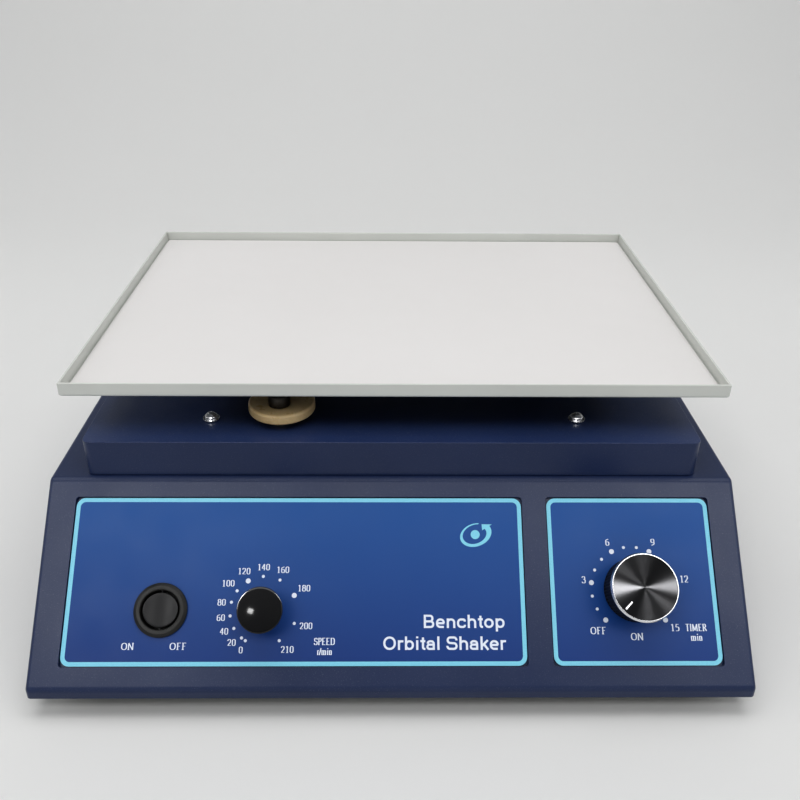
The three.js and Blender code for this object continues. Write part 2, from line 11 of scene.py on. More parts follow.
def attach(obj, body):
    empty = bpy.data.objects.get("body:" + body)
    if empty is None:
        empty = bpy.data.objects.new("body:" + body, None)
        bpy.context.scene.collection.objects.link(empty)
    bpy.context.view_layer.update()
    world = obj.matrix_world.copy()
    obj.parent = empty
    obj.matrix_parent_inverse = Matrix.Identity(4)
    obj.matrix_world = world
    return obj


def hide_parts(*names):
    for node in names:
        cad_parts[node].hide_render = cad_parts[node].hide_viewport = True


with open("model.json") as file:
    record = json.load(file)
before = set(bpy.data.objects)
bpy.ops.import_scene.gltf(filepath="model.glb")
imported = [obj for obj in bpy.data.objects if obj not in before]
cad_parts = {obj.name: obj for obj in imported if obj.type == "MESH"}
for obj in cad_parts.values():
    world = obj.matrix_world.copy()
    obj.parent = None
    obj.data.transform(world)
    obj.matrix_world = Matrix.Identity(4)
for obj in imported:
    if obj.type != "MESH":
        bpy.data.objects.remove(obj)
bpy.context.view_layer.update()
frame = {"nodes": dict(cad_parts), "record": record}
SCENE = bpy.context.scene
MM = 0.001

# ---- Dimensions, in millimetres ----
BODY_W = 321
FRONT_Y = -142
BACK_Y = 139.5
FOOT_H = 10
LIP_Z = FOOT_H + 4.9
KINK_Y = -73.9
KINK_Z = FOOT_H + 69.9
SHEET = 1.5
DECK_W = 287.6
DECK_FRONT_Y = -71.5
DECK_BACK_Y = 132
DECK_TOP = FOOT_H + 88.26
TRAY_W = 300
TRAY_D = 210
TRAY_BOTTOM = FOOT_H + 111.9
TRAY_TOP = FOOT_H + 118.84
ORBIT_Y = 23.7
THROW = 10
REST = math.radians(83.5)
CRANKS = {"drive": (80, 0), "front": (-54, -75.4), "rear": (-54, 75.4)}
WHEEL_SHIFT = 4.4
WHEEL_Z = DECK_TOP + 4
SPEED_AT = (-58.1, 33.6)
SPEED_SCALE_AT = (-58.05, 34.0)
TIMER_AT = (109.6, 42.8)
TIMER_SCALE_AT = (109.3, 43.2)
TIMER_KNOB_H = 16
SWITCH_AT = (-104, 34.2)
LABELS = {"left": (-146.6, 59.7), "right": (71.6, 146.9)}
LABEL_S = (10.1, 84.9)
LABEL_TOP = -0.7
KNOB_SEAT = LABEL_TOP + 0.5
INLET_X = 105
FUSE_X = 60
REAR_Z = 42
CORNER_TAGS = ("fl", "fr", "rl", "rr")
DECK_SCREWS = [(-87.4, -50.4), (88.8, -50.4), (-87.4, 108.5), (88.8, 108.5)]
FEET = [(-136, -118), (136, -118), (-136, 116), (136, 116)]
# Outer radii of the sheet folds, the eased cut edges, and the sizes of the round parts.
HOUSING_FOLD = 1.9
DECK_FOLD = 2.3
TRAY_BEND = 1.6
CUT_EDGE = 0.2
WHEEL_R = 16
WHEEL_H = 5
BOLT_R = 5.25
BOLT_H = 6
PIN_R = 3
SHAFT_HOLE_R = 5.6
SCREW_HOLE_R = 2.3
BEZEL_R = 12
TIMER_GRIP_R = 14.2
TIMER_FACE_R = 14.1

ANGLE = math.atan2(KINK_Z - LIP_Z, KINK_Y - FRONT_Y)
SIN, COS = math.sin(ANGLE), math.cos(ANGLE)
# The control slope: x across, y up the slope, z out of it.
SLOPE = Matrix(
    (
        (1, 0, 0, 0),
        (0, COS, -SIN, FRONT_Y * MM),
        (0, SIN, COS, LIP_Z * MM),
        (0, 0, 0, 1),
    )
)
TRAY_AT = (THROW * math.cos(REST), ORBIT_Y + THROW * math.sin(REST))


def place(x, y, z=0.0):
    """A plain shift, given in millimetres."""
    return Matrix.Translation((x * MM, y * MM, z * MM))


def on_slope(x, s, n=0.0):
    return SLOPE @ place(x, s, n)


def shaft(tag):
    x, y = CRANKS[tag]
    return x, ORBIT_Y + y


def pin(tag):
    x, y = shaft(tag)
    return x + THROW * math.cos(REST), y + THROW * math.sin(REST)


# ---- Mesh building, in millimetres ----
def soften(points, radii, steps=5, closed=False):
    """A polyline with the corner at each point rounded by its own radius."""
    out = []
    count = len(points)
    for i, point in enumerate(points):
        radius = radii[i] if isinstance(radii, (list, tuple)) else radii
        if radius == 0 or (not closed and i in (0, count - 1)):
            out.append(tuple(point))
            continue
        corner = Vector(point)
        a = (Vector(points[i - 1]) - corner).normalized()
        b = (Vector(points[(i + 1) % count]) - corner).normalized()
        half = a.angle(b) / 2
        reach = radius / math.tan(half)
        centre = corner + (a + b).normalized() * (radius / math.sin(half))
        first = corner + a * reach - centre
        last = corner + b * reach - centre
        sweep = math.atan2(first.x * last.y - first.y * last.x, first.dot(last))
        for k in range(steps + 1):
            t = sweep * k / steps
            c, s = math.cos(t), math.sin(t)
            turned = Vector((first.x * c - first.y * s, first.x * s + first.y * c))
            out.append(tuple(centre + turned))
    return out


def rounded_box(x0, x1, y0, y1, radius=0.0, steps=5):
    return soften([(x0, y0), (x1, y0), (x1, y1), (x0, y1)], radius, steps, closed=True)


def circle(radius, count):
    turns = [2 * math.pi * i / count for i in range(count)]
    return [(radius * math.cos(t), radius * math.sin(t)) for t in turns]


def prism(outline, z0, z1):
    bm = bmesh.new()
    low = [bm.verts.new((x, y, z0)) for x, y in outline]
    high = [bm.verts.new((x, y, z1)) for x, y in outline]
    bm.faces.new(low[::-1])
    bm.faces.new(high)
    for i in range(len(outline)):
        j = (i + 1) % len(outline)
        bm.faces.new((low[i], low[j], high[j], high[i]))
    return bm


def turned_axes(bm, matrix):
    bmesh.ops.transform(bm, matrix=matrix, verts=bm.verts)
    return bm


def prism_y(outline, y0, y1):
    """An (x, z) outline carried from y0 to y1."""
    axes = Matrix(((1, 0, 0, 0), (0, 0, -1, 0), (0, 1, 0, 0), (0, 0, 0, 1)))
    return turned_axes(prism(outline, -y1, -y0), axes)


def prism_x(outline, x0, x1):
    """A (y, z) outline carried from x0 to x1."""
    axes = Matrix(((0, 0, 1, 0), (1, 0, 0, 0), (0, 1, 0, 0), (0, 0, 0, 1)))
    return turned_axes(prism(outline, x0, x1), axes)


def lathe(profile, segments=64, wobble=None):
    """Turns (radius, height) points about Z. wobble(angle, radius, height) changes the radius."""
    bm = bmesh.new()
    rings = []
    for radius, height in profile:
        if radius < 1e-6:
            rings.append([bm.verts.new((0, 0, height))])
            continue
        ring = []
        for i in range(segments):
            angle = 2 * math.pi * i / segments
            r = wobble(angle, radius, height) if wobble else radius
            ring.append(bm.verts.new((r * math.cos(angle), r * math.sin(angle), height)))
        rings.append(ring)
    for a, b in zip(rings, rings[1:]):
        for i in range(segments):
            j = (i + 1) % segments
            corners = [a[i % len(a)], a[j % len(a)], b[j % len(b)], b[i % len(b)]]
            unique = list(dict.fromkeys(corners))
            if len(unique) > 2:
                bm.faces.new(unique)
    return bm


def ring_lathe(profile, segments=64):
    """A closed cross-section turned about Z."""
    return lathe(list(profile) + [profile[0]], segments)


def rod(radius, z0, z1, segments=32):
    """A plain round core or cutter."""
    return lathe([(0, z0), (radius, z0), (radius, z1), (0, z1)], segments)


def joined(*parts):
    whole = bmesh.new()
    for part in parts:
        mesh = bpy.data.meshes.new("part")
        part.to_mesh(mesh)
        whole.from_mesh(mesh)
        part.free()
        bpy.data.meshes.remove(mesh)
    return whole


def moved(bm, x=0.0, y=0.0, z=0.0, turn=0.0):
    bmesh.ops.rotate(bm, cent=(0, 0, 0), matrix=Matrix.Rotation(turn, 3, "Z"), verts=bm.verts)
    bmesh.ops.translate(bm, vec=(x, y, z), verts=bm.verts)
    return bm


def temporary(bm, name):
    bmesh.ops.remove_doubles(bm, verts=bm.verts, dist=1e-5)
    bmesh.ops.recalc_face_normals(bm, faces=bm.faces)
    mesh = bpy.data.meshes.new(name)
    bm.to_mesh(mesh)
    bm.free()
    obj = bpy.data.objects.new(name, mesh)
    SCENE.collection.objects.link(obj)
    return obj


def carved(bm, cutters, operation="DIFFERENCE"):
    """The boolean of a closed mesh with others."""
    target = temporary(bm, "target")
    tools = [temporary(cutter, "cutter") for cutter in cutters]
    for tool in tools:
        modifier = target.modifiers.new("cut", "BOOLEAN")
        modifier.solver = "EXACT"
        modifier.operation = operation
        modifier.object = tool
    bpy.context.view_layer.update()
    graph = bpy.context.evaluated_depsgraph_get()
    mesh = bpy.data.meshes.new_from_object(target.evaluated_get(graph))
    result = bmesh.new()
    result.from_mesh(mesh)
    bpy.data.meshes.remove(mesh)
    for obj in [target, *tools]:
        data = obj.data
        bpy.data.objects.remove(obj)
        bpy.data.meshes.remove(data)
    bmesh.ops.remove_doubles(result, verts=result.verts, dist=1e-4)
    return result


def make(name, bm, body, look, at=None, edge=0.0, sharp=32, stands_for=(), steps=3):
    """A finished piece: smooth-shaded, with its sharp edges eased by edge millimetres."""
    for vert in bm.verts:
        vert.co *= MM
    bmesh.ops.recalc_face_normals(bm, faces=bm.faces)
    mesh = bpy.data.meshes.new(name)
    bm.to_mesh(mesh)
    bm.free()
    mesh.polygons.foreach_set("use_smooth", [True] * len(mesh.polygons))
    mesh.set_sharp_from_angle(angle=math.radians(sharp))
    mesh.materials.append(look)
    obj = bpy.data.objects.new(name, mesh)
    SCENE.collection.objects.link(obj)
    obj.matrix_world = at or Matrix.Identity(4)
    if edge > 0:
        bevel = obj.modifiers.new("eased edges", "BEVEL")
        bevel.width = edge * MM
        bevel.segments = steps
        bevel.limit_method = "ANGLE"
        bevel.angle_limit = math.radians(40)
        bevel.harden_normals = True
    normals = obj.modifiers.new("normals", "WEIGHTED_NORMAL")
    normals.keep_sharp = True
    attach(obj, body)
    if stands_for:
        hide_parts(*stands_for)
    return obj


# ---- Materials ----
def colour(red, green, blue):
    """A display colour of 0 to 255 as a linear one."""

    def linear(value):
        value /= 255
        return value / 12.92 if value <= 0.04045 else ((value + 0.055) / 1.055) ** 2.4

    return linear(red), linear(green), linear(blue), 1.0


class Look:
    """A principled material with short ways to add procedural detail."""

    def __init__(self, name, base, roughness, metallic=0.0, **sockets):
        self.material = bpy.data.materials.new(name)
        self.material.use_nodes = True
        self.tree = self.material.node_tree
        self.shader = self.tree.nodes["Principled BSDF"]
        self.shader.inputs["Base Color"].default_value = base
        self.shader.inputs["Roughness"].default_value = roughness
        self.shader.inputs["Metallic"].default_value = metallic
        for socket, value in sockets.items():
            self.shader.inputs[socket.replace("_", " ")].default_value = value
        self.normal = None

    def add(self, kind, **inputs):
        node = self.tree.nodes.new(kind)
        for key, value in inputs.items():
            self.set(node, key.replace("_", " "), value)
        return node

    def set(self, node, socket, value):
        if isinstance(value, bpy.types.NodeSocket):
            self.tree.links.new(value, node.inputs[socket])
        else:
            node.inputs[socket].default_value = value

    def noise(self, scale, detail=2.0, roughness=0.5, stretch=(1, 1, 1)):
        where = self.add("ShaderNodeTexCoord")
        mapping = self.add("ShaderNodeMapping", Vector=where.outputs["Object"], Scale=stretch)
        node = self.add(
            "ShaderNodeTexNoise",
            Vector=mapping.outputs["Vector"],
            Scale=scale,
            Detail=detail,
            Roughness=roughness,
        )
        return node.outputs["Fac"]

    def span(self, value, low, high, start=0.3, end=0.7):
        node = self.add(
            "ShaderNodeMapRange",
            Value=value,
            **{"From_Min": start, "From_Max": end, "To_Min": low, "To_Max": high},
        )
        return node.outputs["Result"]

    def mix(self, factor, one, two):
        node = self.add("ShaderNodeMix")
        node.data_type = "RGBA"
        # The colour sockets of a mix node are numbers 6, 7 and 2.
        for index, value in ((0, factor), (6, one), (7, two)):
            self.set(node, index, value)
        return node.outputs[2]

    def maths(self, kind, one, two=0.0):
        node = self.add("ShaderNodeMath")
        node.operation = kind
        for index, value in enumerate((one, two)):
            self.set(node, index, value)
        return node.outputs[0]

    def link(self, socket, value):
        self.set(self.shader, socket, value)

    def bump(self, height, strength, distance):
        """Adds relief; distance is in millimetres."""
        node = self.add("ShaderNodeBump", Height=height, Strength=strength, Distance=distance * MM)
        if self.normal is not None:
            self.set(node, "Normal", self.normal)
        self.normal = node.outputs["Normal"]
        self.link("Normal", self.normal)


def powder_coat(name, dark, light, rough, peel=1.0, shine=0.5):
    """Satin powder coat: orange peel, a little mottling, faint scuffs and settled dust."""
    look = Look(name, dark, rough[0], Specular_IOR_Level=shine)
    mottled = look.mix(look.span(look.noise(14, 4), 0, 1), dark, light)
    flecks = look.span(look.noise(2600, 1), 0, 1, 0.62, 0.8)
    lifted = look.mix(look.maths("MULTIPLY", flecks, 0.12), mottled, (0.5, 0.5, 0.52, 1))
    look.link("Base Color", lifted)
    scuffs = look.span(look.noise(45, 6, 0.7, (1, 4, 1)), 0, 0.06, 0.55, 0.75)
    even = look.span(look.noise(30, 3), rough[0], rough[1])
    look.link("Roughness", look.maths("ADD", even, scuffs))
    look.bump(look.noise(950, 2, 0.45), 0.22 * peel, 0.06)
    look.bump(look.noise(4200, 1), 0.1 * peel, 0.02)
    return look.material


def moulded(name, base, light, rough, grain=1.0, **sockets):
    """Moulded plastic: fine spark texture and slight flow marks."""
    look = Look(name, base, rough[0], **sockets)
    look.link("Base Color", look.mix(look.span(look.noise(60, 4), 0, 1), base, light))
    look.link("Roughness", look.span(look.noise(150, 4), rough[0], rough[1]))
    look.bump(look.noise(5200, 2), 0.25 * grain, 0.02)
    look.bump(look.noise(900, 2), 0.1 * grain, 0.02)
    return look.material


def metal(name, base, rough, scratch=1.0, stretch=(1, 12, 1)):
    """Machined or plated metal: tool lines, smudges and roughness breaks."""
    look = Look(name, base, rough[0], 1.0)
    dull = tuple(0.82 * c for c in base[:3]) + (1,)
    look.link("Base Color", look.mix(look.span(look.noise(70, 5), 0, 1), base, dull))
    look.link("Roughness", look.span(look.noise(240, 5, 0.6, stretch), rough[0], rough[1]))
    look.bump(look.noise(1800, 3, 0.6, stretch), 0.12 * scratch, 0.02)
    return look.material


def panel_film():
    """Printed polycarbonate film over blue ink, with painted shade: darker towards the bottom of the
    slope, where less light falls.
    """
    top, shaded_bottom = colour(24, 80, 146), colour(16, 52, 116)
    look = Look("panel_film", top, 0.4, Specular_IOR_Level=0.3)
    where = look.add("ShaderNodeTexCoord")
    split = look.add("ShaderNodeSeparateXYZ", Vector=where.outputs["Object"])
    # Painted shade: the film runs from its top colour to a darker one down the slope, in place of the
    # light falling off there.
    rise = look.span(split.outputs["Z"], 1, 0, (LIP_Z + 5) * MM, (KINK_Z - 8) * MM)
    shade = look.mix(rise, top, shaded_bottom)
    cloud = look.span(look.noise(9, 2), 0, 0.1)
    shade = look.mix(cloud, shade, colour(48, 96, 168))
    look.link("Base Color", shade)
    look.link("Roughness", look.span(look.noise(60, 5), 0.38, 0.46))
    look.bump(look.noise(1600, 2), 0.05, 0.02)
    look.bump(look.noise(30, 2), 0.12, 0.12)
    return look.material


def printed(name, ink, thin):
    """Screen-printed ink with slightly uneven cover."""
    look = Look(name, ink, 0.42)
    cover = look.span(look.noise(1500, 3, 0.6), 0, 0.35, 0.45, 0.75)
    look.link("Base Color", look.mix(cover, ink, thin))
    look.link("Roughness", look.span(look.noise(400, 3), 0.36, 0.5))
    look.bump(look.noise(3000, 2), 0.15, 0.01)
    return look.material


def spun_face():
    """Black anodised face, turned: fine concentric lines that fan the light out."""
    look = Look(
        "spun_black_face",
        (0.075, 0.075, 0.078, 1),
        0.28,
        1.0,
        Anisotropic=1.0,
        Anisotropic_Rotation=0.25,
    )
    tangent = look.add("ShaderNodeTangent")
    tangent.direction_type = "RADIAL"
    tangent.axis = "Z"
    look.link("Tangent", tangent.outputs["Tangent"])
    where = look.add("ShaderNodeTexCoord")
    flat = look.add("ShaderNodeVectorMath", Vector=where.outputs["Object"])
    flat.operation = "MULTIPLY"
    flat.inputs[1].default_value = (1, 1, 0)
    length = look.add("ShaderNodeVectorMath")
    length.operation = "LENGTH"
    look.tree.links.new(flat.outputs[0], length.inputs[0])
    rings = look.maths("SINE", look.maths("MULTIPLY", length.outputs["Value"], 26000))
    look.bump(rings, 0.05, 0.004)
    return look.material


def cast_nylon():
    """Warm tan cast nylon with turning lines, slightly translucent."""
    look = Look("cast_nylon", colour(176, 142, 86), 0.42, Subsurface_Weight=0.25)
    look.shader.inputs["Subsurface Radius"].default_value = (1.0, 0.55, 0.25)
    look.shader.inputs["Subsurface Scale"].default_value = 0.0015
    stain = look.span(look.noise(90, 4), 0, 1)
    look.link("Base Color", look.mix(stain, colour(198, 176, 136), colour(170, 147, 107)))
    look.link("Roughness", look.span(look.noise(300, 4), 0.24, 0.4))
    look.bump(look.noise(1500, 2, 0.5, (1, 1, 6)), 0.2, 0.03)
    return look.material


def mat_sheet():
    """Smooth white plastic mat: very fine grain, faint wear rings and dust."""
    look = Look("mat_sheet", colour(232, 231, 228), 0.5)
    worn = look.span(look.noise(7, 5, 0.6), 0, 0.35)
    look.link("Base Color", look.mix(worn, colour(216, 214, 213), colour(207, 205, 203)))
    look.link("Roughness", look.span(look.noise(25, 4), 0.42, 0.58))
    look.bump(look.noise(2400, 2), 0.2, 0.03)
    look.bump(look.noise(20, 2), 0.1, 0.3)
    return look.material


def rubber():
    look = Look("rubber", (0.012, 0.012, 0.013, 1), 0.8)
    bloom = look.span(look.noise(120, 5), 0, 0.5, 0.45, 0.8)
    look.link("Base Color", look.mix(bloom, (0.011, 0.011, 0.012, 1), (0.05, 0.05, 0.05, 1)))
    look.link("Roughness", look.span(look.noise(200, 3), 0.68, 0.9))
    look.bump(look.noise(2600, 3), 0.4, 0.05)
    return look.material


NAVY = powder_coat("navy_coat", colour(31, 44, 76), colour(36, 49, 82), (0.28, 0.36), shine=0.38)
TRAY_GREY = powder_coat("tray_grey", colour(196, 198, 193), colour(204, 206, 201), (0.42, 0.5), 0.7)
FILM = panel_film()
MAT_WHITE = mat_sheet()
CYAN_INK = printed("cyan_ink", colour(128, 204, 226), colour(102, 178, 206))
WHITE_INK = printed("white_ink", colour(220, 226, 238), colour(192, 202, 222))
GRIP = moulded(
    "grip_black",
    (0.008, 0.008, 0.009, 1),
    (0.012, 0.012, 0.013, 1),
    (0.4, 0.5),
    Specular_IOR_Level=0.22,
)
BLACK = moulded(
    "black_moulded",
    (0.014, 0.014, 0.0135, 1),
    (0.019, 0.019, 0.018, 1),
    (0.34, 0.44),
    Specular_IOR_Level=0.35,
)
ROCKER = moulded(
    "rocker_moulded",
    (0.009, 0.009, 0.01, 1),
    (0.013, 0.013, 0.014, 1),
    (0.34, 0.42),
    1.4,
    Specular_IOR_Level=0.4,
)
GLOSS = moulded(
    "gloss_black",
    (0.006, 0.006, 0.007, 1),
    (0.008, 0.008, 0.008, 1),
    (0.06, 0.1),
    0.1,
)
SPUN = spun_face()
NYLON = cast_nylon()
CHROME = metal("bright_plate", (0.8, 0.8, 0.81, 1), (0.18, 0.32), 0.6)
ALUMINIUM = metal("cut_aluminium", (0.86, 0.86, 0.87, 1), (0.16, 0.26), 0.4)
STEEL = metal("machined_steel", (0.5, 0.5, 0.51, 1), (0.28, 0.42))
ZINC = metal("zinc_plate", (0.46, 0.47, 0.45, 1), (0.38, 0.55), 1.2, (1, 3, 1))
BLACK_OXIDE = metal("black_oxide", (0.06, 0.055, 0.05, 1), (0.24, 0.42), 2.5, (1, 1, 1))
RUBBER = rubber()
BOARD = moulded("solder_mask", (0.01, 0.09, 0.03, 1), (0.012, 0.11, 0.035, 1), (0.25, 0.35))

SLOT_LOOKS = {
    "navy_paint": NAVY,
    "zinc_plate": ZINC,
    "rubber": RUBBER,
    "panel_film": FILM,
    "black_plastic": BLACK,
    "gloss_black": GLOSS,
    "black_metal": BLACK_OXIDE,
    "bright_screw": CHROME,
    "tan_nylon": NYLON,
    "tray_paint": TRAY_GREY,
    "mat_white": MAT_WHITE,
    "board": BOARD,
    "steel": STEEL,
}
for part in frame["record"]["subparts"]:
    node = frame["nodes"][part["node"]]
    node.data.materials.clear()
    node.data.materials.append(SLOT_LOOKS[part["material_slot"]])


# ---- Console housing ----
def console(inset, fold):
    """The folded console form, inset millimetres inside its outer skin."""
    # The inner form reaches past the rim, so that the housing is open underneath.
    floor = FOOT_H - 5 if inset else FOOT_H
    low = inset * (1 - SIN) / COS
    high = (KINK_Z - LIP_Z - inset * (1 - COS)) / SIN
    side = [
        (FRONT_Y + inset, floor),
        (BACK_Y - inset, floor),
        (BACK_Y - inset, KINK_Z - inset),
        (FRONT_Y + high * COS + inset * SIN, KINK_Z - inset),
        (FRONT_Y + inset, LIP_Z + low * SIN - inset * COS),
    ]
    half = BODY_W / 2 - inset
    bm = prism_x(side, -half, half)
    folds = [e for e in bm.edges if any(v.co.z > floor + 0.1 for v in e.verts)]
    bmesh.ops.bevel(
        bm, geom=folds, offset=fold, segments=6, profile=0.5, affect="EDGES", clamp_overlap=True
    )
    return bm


def slope_cutter(outline, n0, n1):
    """An (x, up the slope) outline carried through the control slope."""
    frame_mm = SLOPE.copy()
    frame_mm.translation = SLOPE.translation / MM
    return turned_axes(prism(outline, n0, n1), frame_mm)


s0, s1 = LABEL_S
# The openings of the two control panels, the deck, the rear vents, the inlet and the fuse.
cuts = [
    slope_cutter(rounded_box(x0 - 0.4, x1 + 0.4, s0 - 0.4, s1 + 0.4, 1.5), -6, 6)
    for x0, x1 in LABELS.values()
]
cuts.append(prism(rounded_box(-130, 130, -62, 122, 5), KINK_Z - 6, KINK_Z + 6))
rear_holes = [rounded_box(x, x + 4, 28, 58, 1.99) for x in range(-118, -30, 12)]
rear_holes.append(rounded_box(INLET_X - 13.9, INLET_X + 13.9, REAR_Z - 10.2, REAR_Z + 10.2, 2))
rear_holes.append([(FUSE_X + x, REAR_Z + z) for x, z in circle(6.7, 48)])
cuts += [prism_y(hole, BACK_Y - 4, BACK_Y + 4) for hole in rear_holes]
shell = carved(console(0, HOUSING_FOLD), [console(SHEET, 0.5), *cuts])
make("housing_shell", shell, "base", NAVY, edge=0.22, stands_for=["upper_housing"])

# ---- Deck cover ----
half = DECK_W / 2
deck = prism(rounded_box(-half, half, DECK_FRONT_Y, DECK_BACK_Y, 4, 10), KINK_Z + 0.3, DECK_TOP)
tops = [e for e in deck.edges if all(v.co.z > KINK_Z + 1 for v in e.verts)]
bmesh.ops.bevel(deck, geom=tops, offset=DECK_FOLD, segments=7, profile=0.5, affect="EDGES")
inside = prism(
    rounded_box(-half + SHEET, half - SHEET, DECK_FRONT_Y + SHEET, DECK_BACK_Y - SHEET, 2.5, 6),
    KINK_Z - 5,
    DECK_TOP - SHEET,
)
deck_cuts = [inside]
deck_cuts += [moved(rod(SHAFT_HOLE_R, -4, 4, 48), *shaft(tag), DECK_TOP) for tag in CRANKS]
deck_cuts += [moved(rod(SCREW_HOLE_R, -4, 4, 24), x, y, DECK_TOP) for x, y in DECK_SCREWS]
deck_shell = make(
    "deck_shell",
    carved(deck, deck_cuts),
    "base",
    NAVY,
    edge=CUT_EDGE,
    stands_for=["deck_cover"],
)


# ---- Small fasteners ----
def phillips(radius, depth):
    """Two crossed tapered slots."""
    blades = []
    for turn in (0, math.pi / 2):
        blade = prism(rounded_box(-radius, radius, -0.42, 0.42, 0.15, 2), -depth, 3)
        for vert in blade.verts:
            if vert.co.z < 0:
                vert.co.x *= 0.45
                vert.co.y *= 0.6
        blades.append(moved(blade, turn=turn))
    return blades


def pan_head(radius, height):
    rim = soften([(radius, 0), (radius, height * 0.45), (radius * 0.45, height), (0, height)],
                 [0, radius * 0.3, radius * 0.5, 0], 6)
    cutters = phillips(radius * 0.62, height * 0.75)
    for cutter in cutters:
        moved(cutter, z=height)
    return carved(lathe([(0, 0), *rim], 48), cutters)


def washer(outer, inner, thick):
    ring = soften([(inner, 0), (outer, 0), (outer, thick), (inner, thick)], 0.14, 3, closed=True)
    return ring_lathe(ring, 48)


deck_screws = []
for (x, y), tag, turn in zip(DECK_SCREWS, CORNER_TAGS, (0.35, 0.9, 0.1, 1.2)):
    z = DECK_TOP + 0.3
    screw = joined(
        moved(pan_head(3.1, 2.5), z=0.75, turn=turn),
        washer(4, 2.15, 0.7),
        rod(1.95, -14, 0.8, 24),
    )
    screw = make(
        "deck_screw_head_" + tag,
        screw,
        "base",
        CHROME,
        at=place(x, y, z),
        stands_for=["deck_screw_" + tag],
    )
    deck_screws.append(screw)


# ---- Cranks ----
def knurled(angle, radius, height):
    """The 32 grip lines round a socket screw's head."""
    if radius > 5.2 and 0.6 < height < 5.2:
        return radius - 0.32 * (0.5 + 0.5 * math.cos(angle * 32))
    return radius


for tag in CRANKS:
    body = tag + "_crank"
    x, y = shaft(tag)
    px, py = pin(tag)
    top = WHEEL_Z + WHEEL_H
    rim = soften([(0, WHEEL_Z), (WHEEL_R, WHEEL_Z), (WHEEL_R, top), (0, top)], [0, 1.1, 1.2, 0], 8)
    disc = moved(lathe(rim, 96), WHEEL_SHIFT * math.cos(REST), WHEEL_SHIFT * math.sin(REST))
    holes = [rod(3.3, 90, 120), moved(rod(3.3, 90, 120), px - x, py - y)]
    make(
        "wheel_" + tag,
        carved(disc, holes),
        body,
        NYLON,
        at=place(x, y),
        stands_for=["crank_wheel_" + tag],
    )
    head = soften([(0, 0), (BOLT_R, 0), (BOLT_R, BOLT_H), (0, BOLT_H)], [0, 0.25, 0.7, 0], 4)
    side = [(BOLT_R, h) for h in (0.7, 0.8, 5.0, 5.1)]
    cap = carved(lathe(head[:7] + side + head[7:], 216, knurled), [prism(circle(2.9, 6), 3, 8)])
    stem = rod(3, -18, 0.2)
    make(
        "socket_screw_" + tag,
        joined(cap, stem),
        body,
        BLACK_OXIDE,
        at=place(x, y, top + 0.3),
        edge=0.12,
        sharp=40,
        steps=2,
        stands_for=["crank_bolt_" + tag],
    )
    pin_top = TRAY_BOTTOM - 1.1
    spindle = soften([(0, WHEEL_Z), (PIN_R, WHEEL_Z), (PIN_R, pin_top), (0, pin_top)], 0.4, 3)
    make(
        "pin_" + tag,
        lathe(spindle, 40),
        body,
        STEEL,
        at=place(px, py),
        stands_for=["crank_pin_" + tag],
    )
    # The bearing's barrel, and from mid up its flange.
    low, mid, high = 114.6, 116.8, TRAY_BOTTOM - 2.9
    collar = soften(
        [(3.3, low), (10, low), (10, mid), (14, mid), (14, high), (3.3, high)],
        [0.3, 0.5, 0.5, 0.5, 0.1, 0.1],
        3,
        closed=True,
    )
    make(
        "tray_bearing_" + tag,
        ring_lathe(collar, 64),
        "tray",
        STEEL,
        at=place(px, py),
        stands_for=["pin_bearing_" + tag],
    )

# ---- Tray pan: a floor and four bent-up walls with mitred corner seams ----
HEIGHT = TRAY_TOP - TRAY_BOTTOM
MITRE_GAP = 0.06
MAT_LOW, MAT_HIGH = TRAY_BOTTOM + 1.25, TRAY_BOTTOM + 1.85
# A quarter turn in eight steps, for the outside and the inside of the bend.
eighths = [t * math.pi / 16 for t in range(9)]
bend = [(TRAY_BEND * (math.sin(t) - 1), TRAY_BEND * (1 - math.cos(t))) for t in eighths]
inner_r = TRAY_BEND - 1
inner_bend = [(inner_r * math.cos(t) - TRAY_BEND, TRAY_BEND - inner_r * math.sin(t)) for t in eighths]
lip = soften([(0, TRAY_BEND), (0, HEIGHT), (-1, HEIGHT), (-1, TRAY_BEND)], [0, 0.32, 0.32, 0], 4)
section = bend + lip[1:-1] + inner_bend


def tray_wall(length, reach, turn):
    """One wall; its ends are cut at 45 degrees, a hair short of the corner."""
    bm = bmesh.new()
    ends = []
    for side in (-1, 1):
        ring = []
        for out, z in section:
            along = side * (length / 2 + out - MITRE_GAP)
            ring.append(bm.verts.new((along, -(reach + out), TRAY_BOTTOM + z)))
        ends.append(ring)
    bm.faces.new(ends[0][::-1])
    bm.faces.new(ends[1])
    for i in range(len(section)):
        j = (i + 1) % len(section)
        bm.faces.new((ends[0][i], ends[0][j], ends[1][j], ends[1][i]))
    return moved(bm, turn=turn)


floor_x, floor_y = TRAY_W / 2 - TRAY_BEND, TRAY_D / 2 - TRAY_BEND
walls = [
    tray_wall(TRAY_W, TRAY_D / 2, 0),
    tray_wall(TRAY_W, TRAY_D / 2, math.pi),
    tray_wall(TRAY_D, TRAY_W / 2, math.pi / 2),
    tray_wall(TRAY_D, TRAY_W / 2, -math.pi / 2),
]
sheet = prism(rounded_box(-floor_x, floor_x, -floor_y, floor_y), TRAY_BOTTOM, TRAY_BOTTOM + 1)
tray_shell = make(
    "tray_shell",
    joined(sheet, *walls),
    "tray",
    TRAY_GREY,
    at=place(*TRAY_AT),
    sharp=40,
    stands_for=["tray_pan"],
)
mat_x, mat_y = TRAY_W / 2 - 1.8, TRAY_D / 2 - 1.8
mat_piece = make(
    "mat_piece",
    prism(rounded_box(-mat_x, mat_x, -mat_y, mat_y, 1.5), MAT_LOW, MAT_HIGH),
    "tray",
    MAT_WHITE,
    at=place(*TRAY_AT),
    edge=0.2,
    stands_for=["tray_mat"],
)

